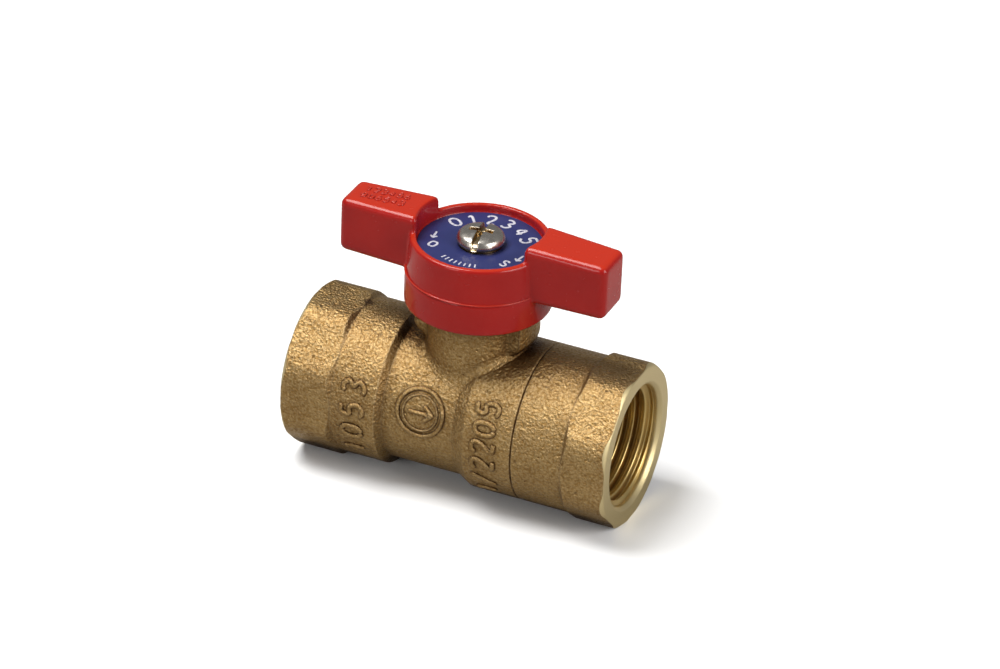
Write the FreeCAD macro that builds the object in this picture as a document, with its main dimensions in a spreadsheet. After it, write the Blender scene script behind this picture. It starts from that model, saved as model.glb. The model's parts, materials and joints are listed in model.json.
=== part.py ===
"""Two-piece brass gas ball valve, 1/2 inch female pipe threads, with a wing handle.

Everything is drawn about the pipe axis (X) and the stem axis (Z), which cross at the
ball's centre.  The inlet is at -X, the screwed-in end cap at +X, and the handle lies
along the pipe, so the valve is open.  Each finished piece is then lifted so that the
lower flats of the two octagons stand on z = 0.
"""
import FreeCAD, Part
import os
import re

import Sketcher

# Millimetres and degrees.  Each size that can be chosen stands here once.
SIZES = {
    # Ports: the wall lies at the root of the pipe thread
    "port_radius": 10.5,
    "port_depth": 14.2,
    "mouth_bevel": 0.6,
    "runout": 1.4,
    "port_wall": 2.9,
    # Flow passage, ball and seats
    "bore_radius": 5.6,
    "port_shoulder": 2.6,
    "ball_wall": 3.7,
    "ball_gap": 0.05,
    "chamber_gap": 0.55,
    "seat_shy": 1.0,
    "seat_rise": 0.2,
    "seat_back_shy": 0.2,
    # Joint between the body and the end cap
    "joint_step": 0.95,
    "joint_wall": 2.6,
    "joint_length": 7.2,
    "joint_land": 0.1,
    "thread_gap": 0.05,
    "thread_bevel": 0.4,
    "gasket_thick": 0.6,
    "seam_bevel": 0.2,
    # Outside of the body and the end cap
    "barrel_wall": 2.2,
    "barrel_left": 12.3,
    "barrel_right": 1.3,
    "left_step": 0.9,
    "right_step": 2.6,
    "flats_proud": 0.1,
    "flats_round": 5.3,
    "flats_depth": 1.2,
    "inlet_flats_length": 9.0,
    "outlet_flats_length": 7.9,
    "rim_proud": 0.55,
    "end_chamfer": 0.45,
    # Neck of the body
    "neck_wall": 4.2,
    "ear_reach": 2.1,
    "ear_angle": 48.0,
    "ear_rise": 2.0,
    "ear_drop": 1.6,
    "neck_height": 6.1,
    "spigot_wall": 3.6,
    "spigot_height": 3.1,
    # Stem
    "stem_radius": 4.0,
    "stem_gap": 0.05,
    "foot_width": 1.2,
    "foot_gap": 0.2,
    "foot_thick": 1.7,
    "washer_thick": 0.8,
    "tang_thick": 4.0,
    "tang_half_length": 3.9,
    "tang_depth": 1.8,
    "tang_gap": 0.1,
    "oring_section": 0.7,
    "oring_spacing": 2.6,
    "oring_rise": 2.15,
    "groove_gap": 0.02,
    "groove_side_gap": 0.05,
    "drive_shoulder": 0.5,
    "drive_flat_depth": 1.0,
    "drive_gap": 0.05,
    "drive_rise": 0.4,
    "drive_shy": 0.6,
    # Handle
    "skirt_clearance": 0.9,
    "skirt_wall": 1.1,
    "skirt_gap": 0.6,
    "skirt_height": 5.6,
    "ledge_width": 0.3,
    "cup_taper": 0.6,
    "cup_height": 4.6,
    "rim_wall": 1.1,
    "rim_bevel": 0.3,
    "well_depth": 1.65,
    "web_thick": 2.9,
    "hub_wall": 2.2,
    "hub_gap": 0.2,
    "wing_reach": 11.8,
    "wing_root_half": 5.1,
    "wing_tip_half": 3.95,
    "wing_overlap": 1.1,
    "wing_rise": 3.05,
    "wing_fall": 0.75,
    "wing_sweep": 0.6,
    "wing_round": 1.15,
    "well_round": 0.5,
    # Quarter-turn stops
    "travel": 90.0,
    "lug_angle": 30.0,
    "stop_gap": 1.5,
    "lug_clearance": 0.6,
    "crescent_shy": 0.4,
    "crescent_thick": 0.5,
    # Screw, washer and label
    "screw_radius": 2.0,
    "screw_sink": 2.5,
    "screw_hole_gap": 0.05,
    "screw_bevel": 0.4,
    "head_radius": 4.05,
    "head_height": 2.1,
    "head_round": 1.1,
    "slot_width": 1.1,
    "slot_depth": 1.1,
    "lock_washer_radius": 3.6,
    "lock_washer_thick": 0.8,
    "lock_washer_split": 0.8,
    "label_gap": 0.25,
    "label_hole_gap": 0.1,
    "label_thick": 0.3,
}

# What follows from those sizes, so that pieces that fit together change together.
WORKED_OUT = {
    "ball_radius": "bore_radius + ball_wall",
    "chamber_radius": "ball_radius + chamber_gap",
    "seat_outer": "ball_radius - seat_shy",
    "seat_back": "ball_radius - seat_back_shy",
    "foot_radius": "stem_radius + foot_width",
    "thread_start": "foot_radius + joint_land",
    "seat_front": "thread_start + seat_rise",
    "thread_radius": "chamber_radius + joint_step",
    "tail_radius": "thread_radius - thread_gap",
    "tail_start": "thread_start + gasket_thick",
    "seam": "thread_start + joint_length",
    "port_inner_end": "seam + port_shoulder",
    "half_length": "port_inner_end + port_depth",
    "mouth_radius": "port_radius + mouth_bevel",
    "barrel_radius": "chamber_radius + barrel_wall",
    "collar_radius": "max(port_radius + port_wall; thread_radius + joint_wall)",
    "core_radius": "collar_radius - flats_depth",
    "flats_half": "collar_radius + flats_proud",
    "flats_short": "flats_half * tan(22.5)",
    "turned_rim": "flats_half + rim_proud",
    "neck_radius": "stem_radius + neck_wall",
    "crown_radius": "neck_radius + ear_reach",
    "ear_top": "collar_radius + ear_rise",
    "ear_foot": "collar_radius - ear_drop",
    "shoulder": "collar_radius + neck_height",
    "spigot_radius": "stem_radius + spigot_wall",
    "neck_top": "shoulder + spigot_height",
    "crescent_top": "neck_top - crescent_shy",
    "bore_wall": "stem_radius + stem_gap",
    "foot_bottom": "ball_radius + foot_gap",
    "foot_top": "foot_bottom + foot_thick",
    "foot_roof": "foot_top + washer_thick + stem_gap",
    "tang_bottom": "ball_radius - tang_depth",
    "oring_low": "foot_roof + oring_rise",
    "groove_floor": "stem_radius - 2 * oring_section - groove_gap",
    "groove_half": "oring_section + groove_side_gap",
    "drive_radius": "stem_radius - drive_shoulder",
    "drive_flat": "drive_radius - drive_flat_depth",
    "drive_bottom": "neck_top + drive_rise",
    "skirt_inside": "crown_radius + skirt_clearance",
    "skirt_radius": "skirt_inside + skirt_wall",
    "skirt_bottom": "shoulder + skirt_gap",
    "ledge": "skirt_bottom + skirt_height",
    "web_top": "ledge + cup_height",
    "web_bottom": "web_top - web_thick",
    "drive_top": "web_top - drive_shy",
    "hub_radius": "stem_radius + hub_wall",
    "hub_bottom": "drive_bottom + hub_gap",
    "rim_top": "web_top + well_depth",
    "rim_outer": "skirt_radius - cup_taper",
    "rim_inner": "rim_outer - rim_wall",
    "wing_tip": "skirt_radius + wing_reach",
    "wing_bottom": "ledge - wing_overlap",
    "wing_root_top": "rim_top + wing_rise",
    "wing_tip_top": "wing_root_top - wing_fall",
    "lug_radius": "spigot_radius + lug_clearance",
    "lug_outer": "skirt_inside + skirt_wall / 2",
    "lug_top": "web_bottom + web_thick / 6",
    "stop_angle": "360 - travel - lug_angle - 2 * stop_gap",
    "screw_hole": "screw_radius + screw_hole_gap",
    "screw_tip": "drive_bottom - screw_sink",
    "screw_seat": "web_top + lock_washer_thick",
    "screw_top": "screw_seat + head_height",
    "label_radius": "rim_inner - label_gap",
    "label_hole": "lock_washer_radius + label_hole_gap",
}

SHEET = "Sizes"
document = FreeCAD.newDocument("GasBallValve")


def make_sheet():
    """The spreadsheet of driving sizes, one named cell per row."""
    table = document.addObject("Spreadsheet::Sheet", SHEET)
    for row, (name, size) in enumerate(SIZES.items(), start=1):
        table.set(f"A{row}", name)
        table.set(f"B{row}", str(size))
        table.setAlias(f"B{row}", name)
    document.recompute()
    return table


sheet = make_sheet()


def bound(expression):
    """The expression with every size pointing at its cell and the rest worked out."""
    def cell(match):
        word = match.group(0)
        if word in WORKED_OUT:
            return f"({bound(WORKED_OUT[word])})"
        return f"{SHEET}.{word}" if word in SIZES else word
    return re.sub(r"[a-z_]+", cell, expression)


def value(expression):
    """The number that an expression of the sheet's sizes gives now."""
    return float(sheet.evalExpression(bound(expression)))


def bind(item, **properties):
    """Tie properties of an object to expressions of the sheet."""
    for name, expression in properties.items():
        item.setExpression(name, bound(expression))


def lift(item):
    """Raise a finished piece so that the lower flats stand on z = 0."""
    item.setExpression(".Placement.Base.z", bound("flats_half"))


# ---------------------------------------------------------------- sketches

def new_body(label):
    """An empty PartDesign body for one piece."""
    body = document.addObject("PartDesign::Body", label)
    body.Label = label
    return body


def new_sketch(body, name, plane, offset=None):
    """A sketch on one of the body's own origin planes, moved by an optional offset."""
    sketch = body.newObject("Sketcher::SketchObject", name)
    origin = [item for item in body.Origin.OriginFeatures if item.Role == plane][0]
    sketch.AttachmentSupport = [(origin, "")]
    sketch.MapMode = "FlatFace"
    if offset is not None:
        sketch.AttachmentOffset = offset
    return sketch


def place_point(sketch, edge, end, across, up):
    """Hold one end of an edge at two expressions of the sheet."""
    for kind, axis, expression in (("DistanceX", -2, across), ("DistanceY", -1, up)):
        if expression == "0":
            sketch.addConstraint(Sketcher.Constraint("PointOnObject", edge, end, axis))
            continue
        rule = Sketcher.Constraint(kind, edge, end, value(expression))
        index = sketch.addConstraint(rule)
        sketch.setExpression(f"Constraints[{index}]", bound(expression))


def draw_polygon(sketch, corners):
    """A closed outline of straight edges with its corners at expressions."""
    first = sketch.GeometryCount
    count = len(corners)
    points = [FreeCAD.Vector(value(across), value(up), 0) for across, up in corners]
    for i in range(count):
        sketch.addGeometry(Part.LineSegment(points[i], points[(i + 1) % count]))
    for i in range(count):
        after = first + (i + 1) % count
        sketch.addConstraint(Sketcher.Constraint("Coincident", first + i, 2, after, 1))
    for i, (across, up) in enumerate(corners):
        place_point(sketch, first + i, 1, across, up)


def revolve(body, name, plane, axis, corners, cut=False, angle=None, turned=0.0):
    """Turn a closed outline about the sketch's H_Axis or V_Axis, to add or to cut."""
    spin = FreeCAD.Rotation(FreeCAD.Vector(0, 1, 0), turned)
    sketch = new_sketch(body, name + "Profile", plane, FreeCAD.Placement(FreeCAD.Vector(), spin))
    draw_polygon(sketch, corners)
    document.recompute()
    kind = "PartDesign::Groove" if cut else "PartDesign::Revolution"
    feature = body.newObject(kind, name)
    feature.Profile = sketch
    feature.ReferenceAxis = (sketch, [axis])
    feature.Angle = 360
    if angle is not None:
        feature.Midplane = True
        bind(feature, Angle=angle)
    document.recompute()
    return feature


def pad_or_pocket(body, name, sketch, length, cut=False, reverse=False, midplane=False):
    """Give a closed sketch a length, to add or to cut."""
    document.recompute()
    before = body.Tip.Shape.Volume if body.Tip else 0.0
    feature = body.newObject("PartDesign::Pocket" if cut else "PartDesign::Pad", name)
    feature.Profile = sketch
    feature.Reversed = reverse
    if midplane:
        feature.SideType = "Symmetric"
    bind(feature, Length=length)
    document.recompute()
    change = feature.Shape.Volume - before
    if change >= 0.0 if cut else change <= 0.0:
        raise RuntimeError(f"{name} changed nothing: {change}")
    return feature


def round_edges(body, name, radius, chosen):
    """Fillet the edges of the body's tip that the test picks."""
    base = body.Tip
    edges = [f"Edge{i}" for i, edge in enumerate(base.Shape.Edges, start=1) if chosen(edge)]
    if not edges:
        raise RuntimeError(f"{name} found no edges")
    feature = body.newObject("PartDesign::Fillet", name)
    feature.Base = (base, edges)
    bind(feature, Radius=radius)
    document.recompute()
    return feature


def is_straight(edge):
    """True where both ends of an edge lie on one straight line."""
    return edge.Curve.TypeId == "Part::GeomLine"


# ---------------------------------------------------------------- body and end cap

def add_octagon(body, name, start, length):
    """The rounded octagon for the wrench, turned down at its outer rim."""
    offset = FreeCAD.Placement(FreeCAD.Vector(0, 0, value(start)), FreeCAD.Rotation())
    sketch = new_sketch(body, name + "Outline", "YZ_Plane", offset)
    bind(sketch, **{".AttachmentOffset.Base.z": start})
    quarter = [("flats_half", "flats_short"), ("flats_short", "flats_half")]
    corners = quarter + [(f"-{across}", up) for across, up in reversed(quarter)]
    corners += [(f"-{across}", f"-{up}") for across, up in quarter]
    corners += [(across, f"-{up}") for across, up in reversed(quarter)]
    draw_polygon(sketch, corners)
    pad_or_pocket(body, name, sketch, length)

    def lengthwise(edge):
        """The octagon's own corners along the pipe, which stand out past its flats."""
        spot = edge.CenterOfMass
        outside = (spot.y ** 2 + spot.z ** 2) ** 0.5 > value("flats_half * 1.05")
        return is_straight(edge) and outside and edge.BoundBox.XLength > value(length) / 2
    round_edges(body, name + "Corners", "flats_round", lengthwise)


def turn_rim(body, name, side):
    """A turned chamfer that takes the octagon's corners off at the end face."""
    sign = "-" if side < 0 else ""
    outside = "turned_rim + 2"
    revolve(body, name, "XZ_Plane", "H_Axis", [
        (f"{sign}(half_length + 1)", "turned_rim - end_chamfer - 1"),
        (f"{sign}(half_length + 1)", outside),
        (f"{sign}(half_length - end_chamfer - 2)", outside),
    ], cut=True)


def turn_shoulder(body, name, side, start):
    """A cone that slopes the octagon's corners down to the collar at their inner end."""
    sign = "-" if side < 0 else ""
    rise = "turned_rim + 2 - collar_radius"
    revolve(body, name, "XZ_Plane", "H_Axis", [
        (f"{sign}({start})", "collar_radius"),
        (f"{sign}({start})", f"collar_radius + {rise}"),
        (f"{sign}({start} + {rise})", f"collar_radius + {rise}"),
    ], cut=True)


def make_body():
    """The cast body: inlet port, ball chamber, female joint thread and neck."""
    body = new_body("body")
    flats_end = "-(half_length - inlet_flats_length)"
    revolve(body, "Barrel", "XZ_Plane", "H_Axis", [
        ("-half_length", "0"),
        ("-half_length", "core_radius"),
        (flats_end, "core_radius"),
        (flats_end, "collar_radius"),
        ("-barrel_left", "collar_radius"),
        ("-(barrel_left - left_step)", "barrel_radius"),
        ("barrel_right", "barrel_radius"),
        ("barrel_right + right_step", "collar_radius"),
        ("seam - seam_bevel", "collar_radius"),
        ("seam", "collar_radius - seam_bevel"),
        ("seam", "0"),
    ])
    add_octagon(body, "InletFlats", "-half_length", "inlet_flats_length")
    revolve(body, "Neck", "XZ_Plane", "V_Axis", [
        ("0", "0"),
        ("neck_radius", "0"),
        ("neck_radius", "shoulder"),
        ("spigot_radius", "shoulder"),
        ("spigot_radius", "neck_top"),
        ("0", "neck_top"),
    ])
    for name, plane_turn in (("EarInlet", 180), ("EarOutlet", 0)):
        revolve(body, name, "XZ_Plane", "V_Axis", [
            ("bore_wall", "ear_foot"),
            ("neck_radius", "ear_foot"),
            ("crown_radius", "ear_top"),
            ("crown_radius", "shoulder"),
            ("bore_wall", "shoulder"),
        ], angle="ear_angle", turned=plane_turn)
    revolve(body, "StopCrescent", "YZ_Plane", "V_Axis", [
        ("-bore_wall", "shoulder - crescent_thick"),
        ("-crown_radius", "shoulder - crescent_thick"),
        ("-crown_radius", "crescent_top"),
        ("-bore_wall", "crescent_top"),
    ], angle="stop_angle")
    turn_rim(body, "InletRim", -1)
    turn_shoulder(body, "InletShoulder", -1, "half_length - inlet_flats_length")
    revolve(body, "Bores", "XZ_Plane", "H_Axis", [
        ("-half_length", "0"),
        ("-half_length", "mouth_radius"),
        ("-(half_length - mouth_bevel)", "port_radius"),
        ("-port_inner_end", "port_radius"),
        ("-(port_inner_end - runout)", "port_radius - runout"),
        ("-(port_inner_end - runout)", "bore_radius"),
        ("-seat_back", "bore_radius"),
        ("-seat_back", "seat_outer"),
        ("-seat_front", "seat_outer"),
        ("-seat_front", "chamber_radius"),
        ("thread_start", "chamber_radius"),
        ("thread_start", "thread_radius"),
        ("seam", "thread_radius"),
        ("seam", "0"),
    ], cut=True)
    revolve(body, "StemBore", "XZ_Plane", "V_Axis", [
        ("0", "tang_bottom"),
        ("foot_radius + stem_gap", "tang_bottom"),
        ("foot_radius + stem_gap", "foot_roof"),
        ("bore_wall", "foot_roof"),
        ("bore_wall", "neck_top"),
        ("0", "neck_top"),
    ], cut=True)
    lift(body)
    return body


def make_end_cap():
    """The end cap: outlet port, wrench octagon and the male joint thread."""
    body = new_body("end_cap")
    flats_start = "half_length - outlet_flats_length"
    revolve(body, "Cap", "XZ_Plane", "H_Axis", [
        ("tail_start", "0"),
        ("tail_start", "tail_radius - thread_bevel"),
        ("tail_start + thread_bevel", "tail_radius"),
        ("seam", "tail_radius"),
        ("seam", "collar_radius - seam_bevel"),
        ("seam + seam_bevel", "collar_radius"),
        (flats_start, "collar_radius"),
        (flats_start, "core_radius"),
        ("half_length", "core_radius"),
        ("half_length", "0"),
    ])
    add_octagon(body, "OutletFlats", flats_start, "outlet_flats_length")
    turn_rim(body, "OutletRim", 1)
    turn_shoulder(body, "OutletShoulder", 1, "half_length - outlet_flats_length")
    revolve(body, "Bores", "XZ_Plane", "H_Axis", [
        ("half_length", "0"),
        ("half_length", "mouth_radius"),
        ("half_length - mouth_bevel", "port_radius"),
        ("port_inner_end", "port_radius"),
        ("port_inner_end - runout", "port_radius - runout"),
        ("port_inner_end - runout", "bore_radius"),
        ("seat_back", "bore_radius"),
        ("seat_back", "seat_outer"),
        ("tail_start", "seat_outer"),
        ("tail_start", "0"),
    ], cut=True)
    lift(body)
    return body


# ---------------------------------------------------------------- ball, seats and rings

def cylinder(name, radius, length, axis="Z", start="0"):
    """A Part cylinder along X or Z that starts at the given place on that axis."""
    item = document.addObject("Part::Cylinder", name)
    bind(item, Radius=radius, Height=length)
    if axis == "X":
        item.Placement.Rotation = FreeCAD.Rotation(FreeCAD.Vector(0, 1, 0), 90)
    if start != "0":
        item.setExpression(f".Placement.Base.{axis.lower()}", bound(start))
    return item


def block(name, long, wide, tall, low_x, low_y, low_z):
    """A Part box from its lower corner."""
    item = document.addObject("Part::Box", name)
    bind(item, Length=long, Width=wide, Height=tall)
    for letter, expression in (("x", low_x), ("y", low_y), ("z", low_z)):
        item.setExpression(f".Placement.Base.{letter}", bound(expression))
    return item


def cut(name, base, tool):
    """Base less tool."""
    item = document.addObject("Part::Cut", name)
    item.Base = base
    item.Tool = tool
    return item


def ring(name, outer, inner, length, axis, start):
    """A plain ring along X or Z."""
    return cut(name, cylinder(name + "_disc", outer, length, axis, start),
               cylinder(name + "_hole", inner, length, axis, start))


def finish_part(item, label):
    """Name a finished piece and lift it on to the ground."""
    item.Label = label
    lift(item)
    return item


def make_ball():
    """The ball: a bored sphere with a slot across its top for the stem."""
    sphere = document.addObject("Part::Sphere", "ball_sphere")
    bind(sphere, Radius="ball_radius")
    bore = cylinder("ball_bore", "bore_radius", "2 * ball_radius", "X", "-ball_radius")
    width = "(tang_thick + 2 * tang_gap)"
    slot = block("ball_slot", width, "2 * ball_radius", "ball_radius", f"-{width} / 2",
                 "-ball_radius", "tang_bottom - 2 * tang_gap")
    return finish_part(cut("ball_slotted", cut("ball_bored", sphere, bore), slot), "ball")


def make_seat(label, side):
    """A seat ring: a short tube with the ball's shape hollowed out of one end."""
    start = "-seat_back" if side < 0 else "tail_start"
    length = "seat_back - seat_front" if side < 0 else "seat_back - tail_start"
    tube = ring(label + "_tube", "seat_outer", "bore_radius", length, "X", start)
    sphere = document.addObject("Part::Sphere", label + "_sphere")
    bind(sphere, Radius="ball_radius + ball_gap")
    return finish_part(cut(label + "_cut", tube, sphere), label)


def make_gasket():
    """The flat ring that the end cap presses against the body's inner shoulder."""
    item = ring("gasket_ring", "tail_radius", "seat_outer + seat_shy / 2",
                "gasket_thick", "X", "thread_start")
    return finish_part(item, "joint_gasket")


def make_oring(label, count):
    """One O-ring in its groove on the stem."""
    item = document.addObject("Part::Torus", label + "_torus")
    bind(item, Radius1="stem_radius - oring_section", Radius2="oring_section")
    item.Label = label
    item.setExpression(".Placement.Base.z",
                       bound(f"flats_half + oring_low + {count} * oring_spacing"))
    return item


# ---------------------------------------------------------------- stem

def slab_pocket(body, name, plane, keep_half, low, high, reach):
    """Cut both sides of a round bar back to two flats, between two heights."""
    sketch = new_sketch(body, name + "Outline", plane)
    for sign in ("", "-"):
        near = f"{sign}({keep_half})"
        far = f"{sign}({reach})"
        draw_polygon(sketch, [(near, low), (far, low), (far, high), (near, high)])
    pad_or_pocket(body, name, sketch, f"2 * ({reach})", cut=True, midplane=True)


def make_stem():
    """The stem, put in from inside: tang, foot, two ring grooves and a flatted drive."""
    body = new_body("stem")
    outline = [
        ("0", "tang_bottom"),
        ("tang_half_length", "tang_bottom"),
        ("tang_half_length", "foot_bottom"),
        ("foot_radius", "foot_bottom"),
        ("foot_radius", "foot_top"),
        ("stem_radius", "foot_top"),
    ]
    for count in (0, 1):
        centre = f"oring_low + {count} * oring_spacing"
        low = f"{centre} - groove_half"
        high = f"{centre} + groove_half"
        outline += [("stem_radius", low), ("groove_floor", low)]
        outline += [("groove_floor", high), ("stem_radius", high)]
    outline += [
        ("stem_radius", "drive_bottom"),
        ("drive_radius", "drive_bottom"),
        ("drive_radius", "drive_top"),
        ("0", "drive_top"),
    ]
    revolve(body, "Shaft", "XZ_Plane", "V_Axis", outline)
    slab_pocket(body, "Tang", "XZ_Plane", "tang_thick / 2", "tang_bottom", "foot_bottom",
                "tang_half_length + 1")
    slab_pocket(body, "Drive", "XZ_Plane", "drive_flat", "drive_bottom", "drive_top",
                "drive_radius + 1")
    revolve(body, "ScrewHole", "XZ_Plane", "V_Axis", [
        ("0", "screw_tip - screw_bevel - screw_hole"),
        ("screw_hole", "screw_tip - screw_bevel"),
        ("screw_hole", "drive_top"),
        ("0", "drive_top"),
    ], cut=True)
    lift(body)
    return body


# ---------------------------------------------------------------- handle

def add_wings(body):
    """One tapering wing from the stem axis outwards, rounded, and the same turned round."""
    offset = FreeCAD.Placement(FreeCAD.Vector(0, 0, value("wing_bottom")), FreeCAD.Rotation())
    plan = new_sketch(body, "WingPlan", "XY_Plane", offset)
    bind(plan, **{".AttachmentOffset.Base.z": "wing_bottom"})
    draw_polygon(plan, [
        ("0", "-wing_root_half"),
        ("wing_tip", "-(wing_tip_half + wing_sweep)"),
        ("wing_tip", "wing_tip_half - wing_sweep"),
        ("0", "wing_root_half"),
    ])
    pad_or_pocket(body, "WingBar", plan, "wing_root_top - wing_bottom")
    slope = new_sketch(body, "WingSlope", "XZ_Plane")
    draw_polygon(slope, [
        ("0", "wing_root_top"),
        ("wing_tip", "wing_tip_top"),
        ("wing_tip + 1", "wing_root_top + 1"),
        ("0", "wing_root_top + 1"),
    ])
    pad_or_pocket(body, "WingTop", slope, "4 * wing_root_half", cut=True, midplane=True)
    round_edges(body, "WingEdges", "wing_round", lambda edge: edge.CenterOfMass.x > 1)
    pair = body.newObject("PartDesign::PolarPattern", "WingPair")
    pair.TransformMode = "Whole shape"
    pair.Axis = (plan, ["N_Axis"])
    pair.Angle = 360
    pair.Occurrences = 2
    body.Tip = pair
    document.recompute()


def on_well_wall(edge):
    """The arcs where the wings' tops meet the wall of the well."""
    spot = edge.CenterOfMass
    across = (spot.x ** 2 + spot.y ** 2) ** 0.5
    return spot.z > value("rim_top + 0.7") and across < value("rim_inner + 0.2")


def make_handle():
    """The wing handle: a cup over the neck with a web, a hub and one stop lug."""
    body = new_body("handle")
    add_wings(body)
    revolve(body, "Cup", "XZ_Plane", "V_Axis", [
        ("0", "skirt_bottom"),
        ("skirt_radius", "skirt_bottom"),
        ("skirt_radius", "ledge - ledge_width"),
        ("skirt_radius - ledge_width", "ledge"),
        ("rim_outer", "rim_top - rim_bevel"),
        ("rim_outer - rim_bevel", "rim_top"),
        ("0", "rim_top"),
    ])
    revolve(body, "LabelWell", "XZ_Plane", "V_Axis", [
        ("0", "web_top"),
        ("rim_inner", "web_top"),
        ("rim_inner", "wing_root_top + 1"),
        ("0", "wing_root_top + 1"),
    ], cut=True)
    round_edges(body, "WellEdges", "well_round", on_well_wall)
    revolve(body, "Cavity", "XZ_Plane", "V_Axis", [
        ("0", "skirt_bottom"),
        ("skirt_inside", "skirt_bottom"),
        ("skirt_inside", "web_bottom"),
        ("hub_radius", "web_bottom"),
        ("hub_radius", "hub_bottom"),
        ("0", "hub_bottom"),
    ], cut=True)
    revolve(body, "StopLug", "XZ_Plane", "V_Axis", [
        ("lug_radius", "skirt_bottom"),
        ("lug_outer", "skirt_bottom"),
        ("lug_outer", "lug_top"),
        ("lug_radius", "lug_top"),
    ], angle="lug_angle", turned=value("90 + travel / 2"))
    cut_drive_hole(body)
    lift(body)
    return body


def cut_drive_hole(body):
    """The hole through the hub, round with two flats, that fits the stem's drive."""
    sketch = new_sketch(body, "DriveOutline", "XY_Plane")
    radius = value("drive_radius + drive_gap")
    flat = value("drive_flat + drive_gap")
    reach = (radius ** 2 - flat ** 2) ** 0.5
    right = [FreeCAD.Vector(flat, -reach, 0), FreeCAD.Vector(flat, reach, 0)]
    left = [FreeCAD.Vector(-flat, reach, 0), FreeCAD.Vector(-flat, -reach, 0)]
    back = FreeCAD.Vector(0, radius, 0)
    sketch.addGeometry(Part.LineSegment(*right))
    sketch.addGeometry(Part.Arc(right[1], back, left[0]))
    sketch.addGeometry(Part.LineSegment(*left))
    sketch.addGeometry(Part.Arc(left[1], -back, right[0]))
    for edge in range(4):
        after = (edge + 1) % 4
        sketch.addConstraint(Sketcher.Constraint("Coincident", edge, 2, after, 1))
    document.recompute()
    pad_or_pocket(body, "DriveHole", sketch, "web_top + 1", cut=True, reverse=True)


# ---------------------------------------------------------------- screw, washer and label

def make_lock_washer():
    """A split lock washer between the handle and the screw head."""
    tube = ring("lock_washer_ring", "lock_washer_radius", "screw_hole", "lock_washer_thick",
                "Z", "web_top")
    split = block("lock_washer_gap", "lock_washer_radius", "lock_washer_split",
                  "lock_washer_thick", "0", "-lock_washer_split / 2", "web_top")
    return finish_part(cut("lock_washer_cut", tube, split), "lock_washer")


def make_label():
    """The printed disc in the handle's well, with a hole for the screw's washer."""
    item = ring("label_ring", "label_radius", "label_hole", "label_thick", "Z", "web_top")
    return finish_part(item, "label_disc")


def make_screw():
    """The pan head screw that holds the handle down on the stem."""
    body = new_body("handle_screw")
    revolve(body, "ScrewBlank", "XZ_Plane", "V_Axis", [
        ("0", "screw_tip"),
        ("screw_radius - screw_bevel", "screw_tip"),
        ("screw_radius", "screw_tip + screw_bevel"),
        ("screw_radius", "screw_seat"),
        ("head_radius", "screw_seat"),
        ("head_radius", "screw_top"),
        ("0", "screw_top"),
    ])
    round_edges(body, "HeadRound", "head_round",
                lambda edge: edge.BoundBox.ZMin > value("screw_top - head_round / 2"))
    sketch = new_sketch(body, "SlotOutline", "XZ_Plane")
    draw_polygon(sketch, [
        ("-slot_width / 2", "screw_top - slot_depth"),
        ("slot_width / 2", "screw_top - slot_depth"),
        ("slot_width / 2", "screw_top + 1"),
        ("-slot_width / 2", "screw_top + 1"),
    ])
    pad_or_pocket(body, "Slot", sketch, "2 * head_radius + 1", cut=True, midplane=True)
    lift(body)
    return body


# ---------------------------------------------------------------- the whole valve

def make_valve():
    """Every piece of the valve, in the order in which it is put together."""
    return [
        make_body(),
        make_end_cap(),
        make_ball(),
        make_seat("seat_inlet", -1),
        make_seat("seat_outlet", 1),
        make_gasket(),
        make_stem(),
        finish_part(ring("thrust_ring", "foot_radius", "bore_wall", "washer_thick", "Z",
                         "foot_top"), "thrust_washer"),
        make_oring("stem_oring_lower", 0),
        make_oring("stem_oring_upper", 1),
        make_handle(),
        make_label(),
        make_lock_washer(),
        make_screw(),
    ]


def check(pieces):
    """Stop if any object failed or any piece has no sound shape."""
    for item in document.Objects:
        if {"Invalid", "Error"} & set(item.State):
            raise RuntimeError(f"{item.Name} failed: {item.State}")
    for piece in pieces:
        shape = piece.Shape
        if shape.isNull() or not shape.isValid() or len(shape.Solids) != 1:
            raise RuntimeError(f"{piece.Label} has no sound single solid")


def export(pieces):
    """Write each piece to parts/ under its own name."""
    os.makedirs("parts", exist_ok=True)
    for piece in pieces:
        piece.Shape.exportStep(f"parts/{piece.Label}.step")
        box = piece.Shape.BoundBox
        print(f"{piece.Label}: {piece.Shape.Volume:.1f} mm3, z {box.ZMin:.2f} to {box.ZMax:.2f}")


valve = make_valve()
document.recompute()
check(valve)
export(valve)
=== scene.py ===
# %% [markdown]
# # A brass ball valve with a red wing handle
# The valve has been drawn already, part by part, as a CAD model with a turning handle.
# This lesson dresses that model in Blender: it adds the shapes that casting, threading,
# printing and plating leave behind, gives every surface a procedural material, and lights
# the result. The first cell loads the CAD frame. It must come first, because every later
# position is read from it.

# %% Load the frame
import json
import bmesh
import bpy
import numpy as np
from mathutils import Matrix, Vector


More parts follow.
